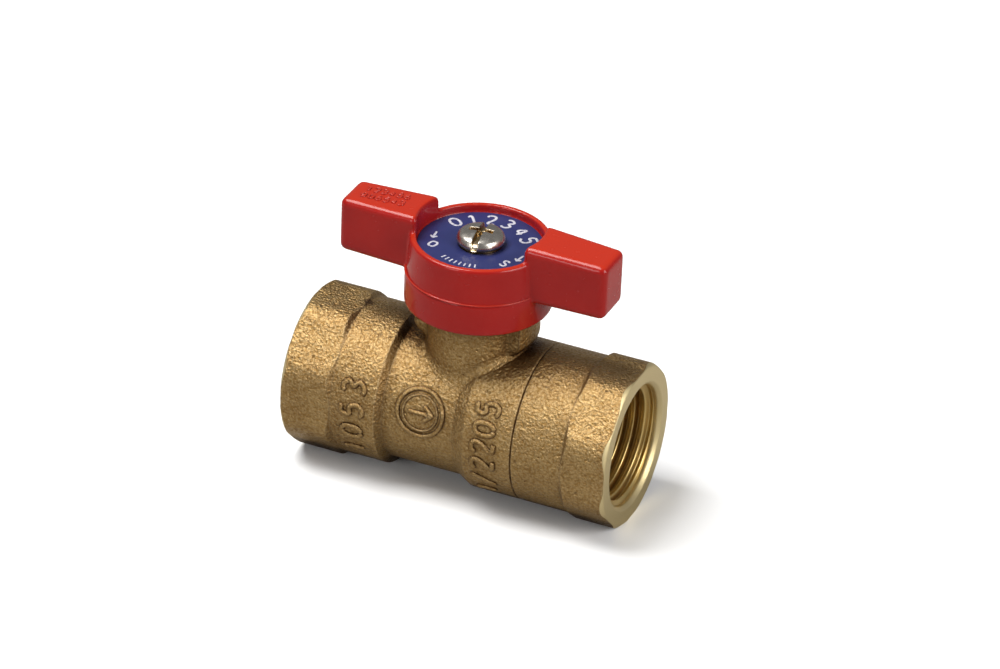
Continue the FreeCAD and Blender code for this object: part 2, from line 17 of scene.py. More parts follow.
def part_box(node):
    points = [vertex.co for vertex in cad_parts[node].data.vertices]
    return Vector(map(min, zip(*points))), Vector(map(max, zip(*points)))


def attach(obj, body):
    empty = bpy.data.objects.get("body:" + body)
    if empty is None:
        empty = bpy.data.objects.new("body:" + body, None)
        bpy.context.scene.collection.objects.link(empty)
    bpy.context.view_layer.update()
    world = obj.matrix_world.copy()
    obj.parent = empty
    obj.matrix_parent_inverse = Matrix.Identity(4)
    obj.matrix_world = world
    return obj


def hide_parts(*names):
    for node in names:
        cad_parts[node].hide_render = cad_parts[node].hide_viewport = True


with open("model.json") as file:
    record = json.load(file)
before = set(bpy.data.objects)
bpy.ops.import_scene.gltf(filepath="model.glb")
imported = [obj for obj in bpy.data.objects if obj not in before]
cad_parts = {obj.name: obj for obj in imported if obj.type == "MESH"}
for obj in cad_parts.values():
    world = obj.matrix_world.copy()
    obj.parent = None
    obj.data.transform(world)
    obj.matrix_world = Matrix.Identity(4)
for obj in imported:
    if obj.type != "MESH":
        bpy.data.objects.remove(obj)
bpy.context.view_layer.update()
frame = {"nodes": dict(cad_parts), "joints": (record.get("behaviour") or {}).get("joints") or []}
print("CAD nodes:", sorted(frame["nodes"]))

# %% [markdown]
# Blender works in metres, while a valve is easier to think about in millimetres. All arrays
# below are in millimetres and shrink by one factor when they become a mesh. The sizes that
# other shapes depend on are read from the CAD nodes, so the dressing follows the drawing.

# %% Sizes read from the CAD model
MM = 0.001


def box_mm(node):
    """Lowest and highest corner of a CAD node, in millimetres."""
    low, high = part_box(node)
    return np.array(low) / MM, np.array(high) / MM


AXIS_Z = frame["joints"][0]["pos_m"][2] / MM
HALF_LENGTH = box_mm("end_cap")[1][0]
HANDLE_LOW, HANDLE_HIGH = box_mm("handle")
SCREW_LOW, SCREW_HIGH = box_mm("handle_screw")
LABEL_TOP = box_mm("label_disc")[1][2]
WASHER_TOP = box_mm("lock_washer")[1][2]
PORT_RADIUS = 10.5
BARREL_RADIUS = 12.05
COLLAR_RADIUS = 13.4
print("pipe axis at", round(AXIS_Z, 3), "half length", round(HALF_LENGTH, 3))

# %% [markdown]
# ## Meshes from grids
# Every new surface in this lesson is a grid of points: rows run one way, columns the other.
# One helper turns such a grid into quads. Where a grid is closed, its last row or column is
# joined to the first, and points that coincide at a pole are merged afterwards, so that
# every piece is a closed skin whose faces all look outwards.

# %% Grid helper
def skin_mesh(name, grids, around=True, along=False, smooth=True):
    """One closed mesh from grids of shape (rows, columns, 3), in millimetres.

    Quads join point (i, j) to (i, j+1), (i+1, j+1) and (i+1, j). `around` joins the last
    column to the first, `along` the last row to the first.
    """
    points, quads, start = [], [], 0
    for grid in grids:
        rows, columns = grid.shape[:2]
        index = start + np.arange(rows * columns).reshape(rows, columns)
        if around:
            index = np.concatenate([index, index[:, :1]], axis=1)
        if along:
            index = np.concatenate([index, index[:1]], axis=0)
        corners = [index[:-1, :-1], index[:-1, 1:], index[1:, 1:], index[1:, :-1]]
        quads.append(np.stack(corners, axis=-1).reshape(-1, 4))
        points.append(grid.reshape(-1, 3) * MM)
        start += rows * columns
    mesh = bpy.data.meshes.new(name)
    mesh.from_pydata(np.concatenate(points), [], np.concatenate(quads))
    build = bmesh.new()
    build.from_mesh(mesh)
    bmesh.ops.remove_doubles(build, verts=build.verts, dist=2e-7)
    bmesh.ops.recalc_face_normals(build, faces=build.faces)
    build.to_mesh(mesh)
    build.free()
    mesh.polygons.foreach_set("use_smooth", np.full(len(mesh.polygons), smooth))
    mesh.update()
    piece = bpy.data.objects.new(name, mesh)
    bpy.context.scene.collection.objects.link(piece)
    print(f"{name}: {len(mesh.polygons)} faces")
    return piece


def finish_piece(piece, body, material):
    """Give a piece its material and the CAD body it rides on."""
    piece.data.materials.clear()
    piece.data.materials.append(material)
    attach(piece, body)
    return piece


# %% [markdown]
# ## Node helper
# Materials are graphs of nodes. Wiring them one call at a time hides the idea behind them,
# so a small helper adds a node, fills in its numbers and connects whatever it is given.

# %% Node helper
def add_node(tree, kind, inputs=(), **settings):
    """A node of this kind; `inputs` pairs sockets (name or number) with values or links."""
    node = tree.nodes.new("ShaderNode" + kind)
    for key, value in settings.items():
        setattr(node, key, value)
    for key, value in dict(inputs).items():
        if isinstance(value, bpy.types.NodeSocket):
            tree.links.new(value, node.inputs[key])
        else:
            node.inputs[key].default_value = value
    return node


def maths(tree, operation, *values, clamp=False):
    """The result of one Math node."""
    node = add_node(tree, "Math", enumerate(values), operation=operation, use_clamp=clamp)
    return node.outputs[0]


def ramp(tree, factor, low, high, smooth=False):
    """0 below `low`, 1 above `high`, and a straight or smooth climb between."""
    node = add_node(tree, "MapRange", {0: factor, 1: low, 2: high},
                    interpolation_type="SMOOTHSTEP" if smooth else "LINEAR")
    return node.outputs[0]


def blend_colours(tree, factor, first, second, mode="MIX"):
    """The colour that a Mix node gives between two colours or links."""
    node = add_node(tree, "Mix", data_type="RGBA", blend_type=mode)
    for socket, value in ((node.inputs[0], factor), (node.inputs[6], first),
                          (node.inputs[7], second)):
        if isinstance(value, bpy.types.NodeSocket):
            tree.links.new(value, socket)
        else:
            socket.default_value = value
    return node.outputs[2]


def noise(tree, place, scale_mm, detail=2.0, roughness=0.5):
    """Noise whose lumps are about `scale_mm` across, on Object coordinates."""
    node = add_node(tree, "TexNoise", {"Vector": place, "Scale": 1000.0 / scale_mm,
                                       "Detail": detail, "Roughness": roughness})
    return node.outputs[0]


def pipe_place(tree):
    """Distance from the pipe axis, and place along it, in metres in Object coordinates."""
    split = add_node(tree, "SeparateXYZ", {0: add_node(tree, "TexCoord").outputs["Object"]})
    up = maths(tree, "SUBTRACT", split.outputs[2], AXIS_Z * MM)
    flat = add_node(tree, "CombineXYZ", {0: split.outputs[1], 1: up})
    away = add_node(tree, "VectorMath", {0: flat.outputs[0]}, operation="LENGTH")
    return away.outputs["Value"], split.outputs[0]


# %% [markdown]
# ## Effects that several finishes share
# Cast skin, bright edges, dark corners and lathe rings each turn up in more than one
# material. Each becomes a node group, built once, with named inputs and outputs. A group
# only puts out numbers, colours and normals: the shader itself stays in the material.

# %% Node group helper
def new_group(name, inputs, outputs):
    """An empty node group with float inputs (name, default) and outputs (name, kind)."""
    tree = bpy.data.node_groups.new(name, "ShaderNodeTree")
    for label, value in inputs:
        socket = tree.interface.new_socket(label, in_out="INPUT",
                                           socket_type="NodeSocketFloat")
        socket.default_value = value
    for label, kind in outputs:
        tree.interface.new_socket(label, in_out="OUTPUT", socket_type="NodeSocket" + kind)
    return tree, tree.nodes.new("NodeGroupInput"), tree.nodes.new("NodeGroupOutput")


def place_group(tree, group, **values):
    """One use of a node group, with this material's own numbers."""
    node = tree.nodes.new("ShaderNodeGroup")
    node.node_tree = group
    for key, value in values.items():
        socket = node.inputs[key.replace("_", " ")]
        if isinstance(value, bpy.types.NodeSocket):
            tree.links.new(value, socket)
        else:
            socket.default_value = value
    return node


# %% [markdown]
# The cast skin is the print of fine sand, then shot blasting: small rounded grains, a few
# deeper pits, and slow changes of tone. Voronoi cells give the grains a size that the eye
# can read, and noise keeps them from looking like scales.

# %% Group: sandy casting skin
def sandy_skin_group():
    """Height = noise grains + Voronoi bumps - pits + slow waves.

    Tone is slower noise, Fleck marks the bright peaks, and Pit the deeper holes.
    """
    tree, given, out = new_group(
        "sandy_skin", [("Grain mm", 0.42)],
        [("Height", "Float"), ("Tone", "Float"), ("Fleck", "Float"), ("Pit", "Float")])
    place = add_node(tree, "TexCoord").outputs["Object"]
    size = maths(tree, "DIVIDE", 1000.0, given.outputs["Grain mm"])
    grains = add_node(tree, "TexNoise", {"Vector": place, "Scale": size, "Detail": 3.0,
                                         "Roughness": 0.6}).outputs[0]
    cells = add_node(tree, "TexVoronoi", {"Vector": place, "Scale": size},
                     feature="SMOOTH_F1").outputs["Distance"]
    pits = ramp(tree, noise(tree, place, 1.3, 1.0), 0.68, 0.78, smooth=True)
    waves = noise(tree, place, 3.0, 2.0)
    height = maths(tree, "MULTIPLY_ADD", cells, -0.55, grains)
    height = maths(tree, "MULTIPLY_ADD", pits, -0.5, height)
    height = maths(tree, "MULTIPLY_ADD", waves, 0.8, height)
    fine = add_node(tree, "TexNoise", {"Vector": place, "Detail": 2.0,
                                       "Scale": maths(tree, "MULTIPLY", size, 1.1)})
    fleck = ramp(tree, maths(tree, "MULTIPLY_ADD", fine.outputs[0], 0.5,
                             maths(tree, "MULTIPLY", grains, 0.5)), 0.40, 0.62)
    tree.links.new(height, out.inputs["Height"])
    tree.links.new(noise(tree, place, 7.0, 3.0, 0.6), out.inputs["Tone"])
    tree.links.new(fleck, out.inputs["Fleck"])
    tree.links.new(pits, out.inputs["Pit"])
    return tree


SANDY_SKIN = sandy_skin_group()

# %% [markdown]
# A sharp CAD edge has no width, but a real one is rounded, rubbed bright and catches the
# light. The lighter colour laid on edges below is partly that wear and partly a painted
# highlight. The Bevel node looks a short way round each point and returns the normal that a
# rounded edge would have. Where that differs from the true normal there is an edge.
# Corners are the opposite: they get painted shade where little of the sky can be seen,
# which is what the Ambient Occlusion node measures. On the screw the same mask also lays
# yellow-brown dirt. Noise breaks the shade up, so it isn't a neat outline.

# %% Group: worn edges with painted highlights, painted shade in corners
def edge_group():
    """Edge = 1 - (true normal . rounded normal), scaled; Soft is the rounded normal."""
    tree, given, out = new_group(
        "worn_edge_and_highlight", [("Radius mm", 0.4), ("Gain", 6.0)],
        [("Edge", "Float"), ("Soft", "Vector")])
    radius = maths(tree, "MULTIPLY", given.outputs["Radius mm"], MM)
    soft = add_node(tree, "Bevel", {"Radius": radius}, samples=6).outputs[0]
    true = add_node(tree, "NewGeometry").outputs["Normal"]
    same = add_node(tree, "VectorMath", {0: soft, 1: true}, operation="DOT_PRODUCT")
    edge = maths(tree, "SUBTRACT", 1.0, same.outputs["Value"])
    edge = maths(tree, "MULTIPLY", edge, given.outputs["Gain"], clamp=True)
    tree.links.new(edge, out.inputs["Edge"])
    tree.links.new(soft, out.inputs["Soft"])
    return tree


def corner_group():
    """Painted shade and dirt = 1 - ambient occlusion within a short reach, broken up by noise.
    """
    tree, given, out = new_group("corner_shade_and_dirt", [("Reach mm", 3.0), ("Gain", 1.0)],
                                 [("Shade and dirt", "Float")])
    reach = maths(tree, "MULTIPLY", given.outputs["Reach mm"], MM)
    open_sky = add_node(tree, "AmbientOcclusion", {"Distance": reach}, samples=8)
    place = add_node(tree, "TexCoord").outputs["Object"]
    patchy = ramp(tree, noise(tree, place, 2.2, 3.0), 0.25, 0.6)
    shade_and_dirt = maths(tree, "SUBTRACT", 1.0, open_sky.outputs["AO"])
    shade_and_dirt = maths(tree, "MULTIPLY", shade_and_dirt, given.outputs["Gain"], clamp=True)
    shade_and_dirt = maths(tree, "MULTIPLY", shade_and_dirt, maths(tree, "MULTIPLY_ADD", patchy, 0.4, 0.6))
    tree.links.new(shade_and_dirt, out.inputs["Shade and dirt"])
    return tree


WORN_EDGE_AND_HIGHLIGHT = edge_group()
CORNER_SHADE_AND_DIRT = corner_group()

# %% [markdown]
# A lathe leaves rings: fine grooves at a steady pitch, with some cut deeper than others.
# The group adds the distance from the pipe axis to the place along it, and reads
# one-dimensional noise there. Flat ends and round walls both get rings that close on
# themselves, because everything turned on this valve was turned round that axis.

# %% Group: lathe rings
def lathe_group():
    """Rings = noise read at (distance from the pipe axis + place along it) / pitch."""
    tree, given, out = new_group("lathe_rings", [("Pitch mm", 0.12)], [("Rings", "Float")])
    line = maths(tree, "ADD", *pipe_place(tree))
    step = maths(tree, "MULTIPLY", given.outputs["Pitch mm"], MM)
    line = maths(tree, "DIVIDE", line, step)
    rings = add_node(tree, "TexNoise", {"W": line, "Scale": 1.0, "Detail": 2.0},
                     noise_dimensions="1D").outputs[0]
    tree.links.new(rings, out.inputs["Rings"])
    return tree


LATHE_RINGS = lathe_group()
print("node groups:", [group.name for group in bpy.data.node_groups])


# %% [markdown]
# ## The finishes
# Each material starts from the same two nodes, a Principled shader and an output. What
# makes it brass or enamel is fed into the shader's sockets. A number that is the same all
# over the surface goes straight onto the socket.

# %% Material helper
def new_material(name, **constants):
    """A material with one Principled shader, and these constant socket values."""
    material = bpy.data.materials.new(name)
    material.use_nodes = True
    tree = material.node_tree
    shader = tree.nodes["Principled BSDF"]
    for label, value in constants.items():
        shader.inputs[label.replace("_", " ")].default_value = value
    material.diffuse_color = (*constants.get("Base_Color", (0.5, 0.5, 0.5, 1))[:3], 1)
    return material, tree, shader


# %% [markdown]
# The body and the end cap are one casting alloy with two finishes: a sandy skin outside,
# and bright turned metal on the end faces, their chamfers and everything inside the bore.
# A mask chooses between them from the distance to the pipe axis, so one material serves
# both pieces and the border falls exactly where the lathe tool would stop. Two dark ragged
# spots of painted shadow, under the handle's left wing, sit on the inlet's shoulder and at
# the collar's step.

# %% Cast brass
WING_SHADOW_SPOTS = (((-20.2, 0.8, 26.9), 1.5), ((-11.2, -3.0, 25.3), 2.2))


def wing_shadow_spot(tree, place, centre, radius):
    """1 in a ragged spot, where distance from the centre + noise is under the radius."""
    centre = [value * MM for value in centre]
    away = add_node(tree, "VectorMath", {0: place, 1: centre},
                    operation="DISTANCE").outputs["Value"]
    ragged = maths(tree, "MULTIPLY_ADD", noise(tree, place, 0.9, 3.0), radius * MM, away)
    return ramp(tree, ragged, 1.35 * radius * MM, 0.85 * radius * MM)


def cast_brass():
    """Sandy brass outside; turned brass where |x| + r passes the chamfer, or r is small."""
    material, tree, shader = new_material("cast_brass", Base_Color=(0.5, 0.35, 0.15, 1),
                                          Metallic=1.0)
    away, along = pipe_place(tree)
    reach = maths(tree, "MAXIMUM", away, 0.0136)
    corner = maths(tree, "ADD", maths(tree, "ABSOLUTE", along), reach)
    ends = ramp(tree, corner, (HALF_LENGTH + 13.55) * MM, (HALF_LENGTH + 13.59) * MM)
    bore = ramp(tree, away, 0.01145, 0.0113)
    turned = maths(tree, "MAXIMUM", ends, bore)
    skin = place_group(tree, SANDY_SKIN, Grain_mm=0.44)
    edges = place_group(tree, WORN_EDGE_AND_HIGHLIGHT, Radius_mm=0.55, Gain=5.0)
    shade_and_dirt = place_group(tree, CORNER_SHADE_AND_DIRT, Reach_mm=4.4, Gain=2.5)
    rings = place_group(tree, LATHE_RINGS, Pitch_mm=0.10)
    tone = ramp(tree, skin.outputs["Tone"], 0.3, 0.7)
    cast = blend_colours(tree, tone, (0.33, 0.195, 0.066, 1), (0.47, 0.305, 0.118, 1))
    grain = ramp(tree, skin.outputs["Fleck"], 0.0, 1.0)
    dark = blend_colours(tree, 1.0, cast, (0.82, 0.77, 0.69, 1), "MULTIPLY")
    light = blend_colours(tree, 0.34, cast, (0.70, 0.52, 0.28, 1))
    cast = blend_colours(tree, grain, dark, light)
    # Lighter brass on edges: partly rubbed wear, partly a painted highlight.
    worn = maths(tree, "MULTIPLY", edges.outputs["Edge"], 0.45)
    cast = blend_colours(tree, worn, cast, (0.76, 0.57, 0.33, 1))
    pits = maths(tree, "MULTIPLY", skin.outputs["Pit"], 0.35)
    cast = blend_colours(tree, pits, cast, (0.14, 0.07, 0.025, 1))
    # Painted shade: very dark brown where the Ambient Occlusion mask finds little sky.
    cast = blend_colours(tree, shade_and_dirt.outputs["Shade and dirt"], cast, (0.085, 0.040, 0.013, 1))
    place = add_node(tree, "TexCoord").outputs["Object"]
    # Painted shadow of the handle's left wing: two dark ragged spots.
    for centre, radius in WING_SHADOW_SPOTS:
        spot = maths(tree, "MULTIPLY", wing_shadow_spot(tree, place, centre, radius), 0.8)
        cast = blend_colours(tree, spot, cast, (0.075, 0.030, 0.010, 1))
    bright = blend_colours(tree, rings.outputs["Rings"], (0.72, 0.56, 0.27, 1),
                           (0.88, 0.75, 0.44, 1))
    colour = blend_colours(tree, turned, cast, bright)
    tree.links.new(colour, shader.inputs["Base Color"])
    rough = maths(tree, "MULTIPLY_ADD", skin.outputs["Fleck"], -0.18, 0.50)
    finish = add_node(tree, "Mix", {0: turned, 2: rough, 3: 0.42})
    tree.links.new(finish.outputs[0], shader.inputs["Roughness"])
    height = add_node(tree, "Mix", {0: turned, 2: skin.outputs["Height"]})
    faint = maths(tree, "MULTIPLY", rings.outputs["Rings"], 0.10)
    tree.links.new(faint, height.inputs[3])
    bump = add_node(tree, "Bump", {"Strength": 1.0, "Distance": 0.00025,
                                   "Height": height.outputs[0],
                                   "Normal": edges.outputs["Soft"]})
    tree.links.new(bump.outputs[0], shader.inputs["Normal"])
    return material


CAST_BRASS = cast_brass()
print("cast brass:", len(CAST_BRASS.node_tree.nodes), "nodes")


# %% [markdown]
# The threads are cut after casting, so they are bright all over. Each flank carries fine
# scratches along the cut, and the roots are darkened with painted shade.

# %% Turned brass
def turned_brass():
    """Bright brass with lathe rings, with painted shade in its corners."""
    material, tree, shader = new_material("turned_brass", Base_Color=(0.66, 0.52, 0.26, 1),
                                          Metallic=1.0)
    rings = place_group(tree, LATHE_RINGS, Pitch_mm=0.08)
    shade_and_dirt = place_group(tree, CORNER_SHADE_AND_DIRT, Reach_mm=1.4, Gain=0.8)
    colour = blend_colours(tree, rings.outputs["Rings"], (0.62, 0.43, 0.15, 1),
                           (0.84, 0.64, 0.28, 1))
    # Painted shade: dark brown in the thread roots and corners.
    colour = blend_colours(tree, shade_and_dirt.outputs["Shade and dirt"], colour, (0.14, 0.062, 0.014, 1))
    tree.links.new(colour, shader.inputs["Base Color"])
    rough = maths(tree, "MULTIPLY_ADD", rings.outputs["Rings"], 0.16, 0.26)
    tree.links.new(rough, shader.inputs["Roughness"])
    bump = add_node(tree, "Bump", {"Strength": 0.3, "Distance": 0.00002,
                                   "Height": rings.outputs["Rings"]})
    tree.links.new(bump.outputs[0], shader.inputs["Normal"])
    return material


TURNED_BRASS = turned_brass()


# %% [markdown]
# The handle is dipped or powder coated: a thick, glossy film over die-cast metal. The film
# pulls thin over edges, flows a little unevenly (orange peel), and shows small pinholes.
# The Coat sockets of the shader stand for the clear top of the film. Its top faces and edges
# are painted a lighter red as highlights, and its corners a deeper red as painted shade.

# %% Red enamel
def red_enamel():
    """Gloss red: orange peel, painted highlights on tops and edges, painted shade in corners."""
    material, tree, shader = new_material(
        "red_enamel", Base_Color=(0.60, 0.025, 0.018, 1), Metallic=0.0,
        Coat_Weight=0.22, Coat_Roughness=0.08, Coat_IOR=1.5,
        Specular_IOR_Level=0.22)
    place = add_node(tree, "TexCoord").outputs["Object"]
    edges = place_group(tree, WORN_EDGE_AND_HIGHLIGHT, Radius_mm=0.5, Gain=2.2)
    shade_and_dirt = place_group(tree, CORNER_SHADE_AND_DIRT, Reach_mm=2.5, Gain=0.8)
    tone = ramp(tree, noise(tree, place, 9.0, 2.0), 0.3, 0.7)
    colour = blend_colours(tree, tone, (0.31, 0.006, 0.005, 1), (0.37, 0.009, 0.006, 1))
    # Painted highlight: faces that look upwards get a lighter red.
    flat_up = add_node(tree, "SeparateXYZ",
                       {0: add_node(tree, "NewGeometry").outputs["Normal"]})
    top = ramp(tree, flat_up.outputs[2], 0.5, 0.98, smooth=True)
    colour = blend_colours(tree, maths(tree, "MULTIPLY", top, 0.75), colour,
                           (0.44, 0.026, 0.007, 1))
    # Painted highlight: a lighter red on the edges.
    edge_highlight = maths(tree, "MULTIPLY", edges.outputs["Edge"], 0.35)
    colour = blend_colours(tree, edge_highlight, colour, (0.80, 0.14, 0.09, 1))
    # Painted shade: a deeper red in the corners.
    colour = blend_colours(tree, maths(tree, "MULTIPLY", shade_and_dirt.outputs["Shade and dirt"], 0.7),
                           colour, (0.19, 0.008, 0.008, 1))
    tree.links.new(colour, shader.inputs["Base Color"])
    specks = ramp(tree, noise(tree, place, 0.9, 0.0), 0.79, 0.86, smooth=True)
    rough = maths(tree, "MULTIPLY_ADD", specks, 0.25, 0.26)
    tree.links.new(rough, shader.inputs["Roughness"])
    peel = maths(tree, "MULTIPLY_ADD", specks, -0.5, noise(tree, place, 1.6, 1.0))
    bump = add_node(tree, "Bump", {"Strength": 0.35, "Distance": 0.00009, "Height": peel})
    tree.links.new(bump.outputs[0], shader.inputs["Normal"])
    return material


RED_ENAMEL = red_enamel()


# %% [markdown]
# The label is a printed disc: a blue field with a faint weave from the plastic film, and
# white ink that stands a hair above it. The screw is bright nickel plate, a little dulled
# by handling, with yellow-brown dirt and painted shade in its recess.

# %% Label, ink and screw plate
def label_blue():
    """Satin blue print with slow patches of fading."""
    material, tree, shader = new_material("label_blue", Base_Color=(0.04, 0.05, 0.22, 1),
                                          Coat_Weight=0.15, Coat_Roughness=0.2,
                                          Specular_IOR_Level=0.3)
    place = add_node(tree, "TexCoord").outputs["Object"]
    patch = noise(tree, place, 3.5, 4.0, 0.6)
    colour = blend_colours(tree, patch, (0.014, 0.019, 0.090, 1), (0.028, 0.036, 0.135, 1))
    shade_and_dirt = place_group(tree, CORNER_SHADE_AND_DIRT, Reach_mm=1.5, Gain=0.8)
    # Painted shade: a darker blue in the corners.
    colour = blend_colours(tree, shade_and_dirt.outputs["Shade and dirt"], colour, (0.01, 0.012, 0.05, 1))
    tree.links.new(colour, shader.inputs["Base Color"])
    rough = maths(tree, "MULTIPLY_ADD", patch, 0.25, 0.3)
    tree.links.new(rough, shader.inputs["Roughness"])
    bump = add_node(tree, "Bump", {"Strength": 0.2, "Distance": 0.00002,
                                   "Height": noise(tree, place, 0.25, 2.0)})
    tree.links.new(bump.outputs[0], shader.inputs["Normal"])
    return material


def white_ink():
    """Slightly worn white print."""
    material, tree, shader = new_material("white_ink", Base_Color=(0.7, 0.7, 0.74, 1))
    place = add_node(tree, "TexCoord").outputs["Object"]
    worn = ramp(tree, noise(tree, place, 0.5, 4.0, 0.7), 0.25, 0.6)
    colour = blend_colours(tree, worn, (0.22, 0.22, 0.32, 1), (0.60, 0.59, 0.62, 1))
    tree.links.new(colour, shader.inputs["Base Color"])
    rough = maths(tree, "MULTIPLY_ADD", worn, -0.2, 0.65)
    tree.links.new(rough, shader.inputs["Roughness"])
    return material


def nickel_plate():
    """Bright nickel with handling haze; yellow-brown dirt and painted shade deep in the recess.
    """
    material, tree, shader = new_material("nickel_plate", Base_Color=(0.62, 0.57, 0.49, 1),
                                          Metallic=1.0)
    place = add_node(tree, "TexCoord").outputs["Object"]
    haze = noise(tree, place, 1.4, 5.0, 0.65)
    shade_and_dirt = place_group(tree, CORNER_SHADE_AND_DIRT, Reach_mm=1.5, Gain=2.2)
    colour = blend_colours(tree, haze, (0.50, 0.45, 0.38, 1), (0.76, 0.72, 0.65, 1))
    # Yellow-brown dirt and painted shade, laid deep in the recess by the occlusion mask.
    colour = blend_colours(tree, shade_and_dirt.outputs["Shade and dirt"], colour, (0.34, 0.205, 0.05, 1))
    tree.links.new(colour, shader.inputs["Base Color"])
    tree.links.new(maths(tree, "MULTIPLY_ADD", haze, 0.3, 0.12), shader.inputs["Roughness"])
    bump = add_node(tree, "Bump", {"Strength": 0.3, "Distance": 0.00003,
                                   "Height": noise(tree, place, 0.3, 3.0)})
    tree.links.new(bump.outputs[0], shader.inputs["Normal"])
    return material


LABEL_BLUE, WHITE_INK, NICKEL_PLATE = label_blue(), white_ink(), nickel_plate()


# %% [markdown]
# The inner parts get honest finishes too, because the handle turns and the valve can be
# looked into: chrome ball, white PTFE seats, black rubber rings. They differ only in
# numbers, so one function makes all three. A table then gives each CAD node its finish.

# %% Finishes of the inner parts
def inner_finish(name, low, high, metallic, rough, speck_mm, bump_mm):
    """Colour between `low` and `high` by noise, with a fine bump of the same noise."""
    material, tree, shader = new_material(name, Metallic=metallic)
    place = add_node(tree, "TexCoord").outputs["Object"]
    patch = noise(tree, place, speck_mm, 4.0, 0.6)
    tree.links.new(blend_colours(tree, patch, low, high), shader.inputs["Base Color"])
    uneven = maths(tree, "MULTIPLY_ADD", patch, 0.2, rough)
    tree.links.new(uneven, shader.inputs["Roughness"])
    bump = add_node(tree, "Bump", {"Strength": 0.3, "Distance": bump_mm * MM,
                                   "Height": patch})
    tree.links.new(bump.outputs[0], shader.inputs["Normal"])
    return material


CHROME = inner_finish("chrome_plate", (0.66, 0.67, 0.68, 1), (0.86, 0.87, 0.88, 1), 1.0,
                      0.04, 4.0, 0.004)
PTFE = inner_finish("ptfe_white", (0.80, 0.79, 0.75, 1), (0.9, 0.9, 0.87, 1), 0.0,
                    0.38, 1.0, 0.02)
RUBBER = inner_finish("nitrile_black", (0.012, 0.012, 0.012, 1), (0.03, 0.03, 0.03, 1),
                      0.0, 0.45, 0.6, 0.03)

NODE_FINISH = {
    "body": CAST_BRASS, "end_cap": CAST_BRASS, "ball": CHROME, "seat_inlet": PTFE,
    "seat_outlet": PTFE, "joint_gasket": PTFE, "stem": TURNED_BRASS,
    "thrust_washer": PTFE, "stem_oring_lower": RUBBER, "stem_oring_upper": RUBBER,
    "handle": RED_ENAMEL, "label_disc": LABEL_BLUE, "lock_washer": NICKEL_PLATE,
    "handle_screw": NICKEL_PLATE,
}
for node_name, finish in NODE_FINISH.items():
    slots = frame["nodes"][node_name].data.materials
    slots.clear()
    slots.append(finish)
print("finished nodes:", len(NODE_FINISH))


# %% [markdown]
# ## Pipe threads
# The CAD port is a plain bore at the root of the thread, which is what a fit is checked
# against. The thread itself is one ridge wound into the bore, 14 turns to the inch. The
# easiest way to make a helix that blends out at both ends is a sleeve: its outer wall lies
# in the bore, and the radius of its inner wall drops wherever the helix passes.

# %% Thread sleeves
PITCH = 25.4 / 14
THREAD_START, THREAD_END = 1.25, 14.1


def thread_sleeve(name, side):
    """Inner wall radius = root - taper x depth - ridge(phase), phase = x / pitch - angle.

    The ridge is a triangle wave with its crest and root clipped flat, times a fade that
    is 0 at the mouth and at the end of the port.
    """
    angle = np.linspace(0.0, 2 * np.pi, 168, endpoint=False)
    depth = np.linspace(THREAD_START, THREAD_END, 190)
    inward, turn = np.meshgrid(depth, angle, indexing="ij")
    phase = np.mod(inward / PITCH + side * turn / (2 * np.pi), 1.0)
    wave = 1.0 - 2.0 * np.abs(phase - 0.5) * 2.0
    ridge = np.clip(wave * 0.85 + 0.6, 0.0, 1.0)
    ridge = ridge ** 2 * (3 - 2 * ridge)
    fade = np.clip((inward - THREAD_START) / 0.7, 0, 1)
    fade = fade * np.clip((THREAD_END - inward) / 1.6, 0, 1)
    wall = PORT_RADIUS - 0.03 - (1.05 * ridge + 0.018 * inward) * fade
    wall_out = np.full((2, len(angle)), PORT_RADIUS - 0.02)
    radius = np.concatenate([wall, wall_out])
    ends = np.array([[THREAD_END], [THREAD_START]])
    inward = np.concatenate([inward, ends * np.ones(len(angle))])
    turn = np.concatenate([turn, turn[:2]])
    x = side * (HALF_LENGTH - inward)
    points = np.stack([x, radius * np.cos(turn), AXIS_Z + radius * np.sin(turn)], axis=-1)
    return skin_mesh(name, [points], along=True)


for name, side in (("thread_inlet", -1), ("thread_outlet", 1)):
    finish_piece(thread_sleeve(name, side), "valve_body", TURNED_BRASS)


# %% [markdown]
# ## The neck
# Where the neck grows out of the barrel the pattern maker left a small fillet, and in line
# with the pipe two ears swell out of it to carry the handle. The surface under the neck is
# curved and stepped, so a plain revolve can't meet it. For each direction round the stem,
# the helper finds the height of the barrel there, then draws one smooth profile up from it.

# %% Skin of the neck
NECK_CORE, NECK_TOP = 6.0, 19.45


def barrel_top(x, y):
    """Height of the barrel or collar above a point: sqrt(R(x)^2 - y^2)."""
    radius = np.interp(x, [-13.2, -12.3, 1.3, 3.9],
                       [COLLAR_RADIUS, BARREL_RADIUS, BARREL_RADIUS, COLLAR_RADIUS])
    return np.sqrt(radius ** 2 - y ** 2)


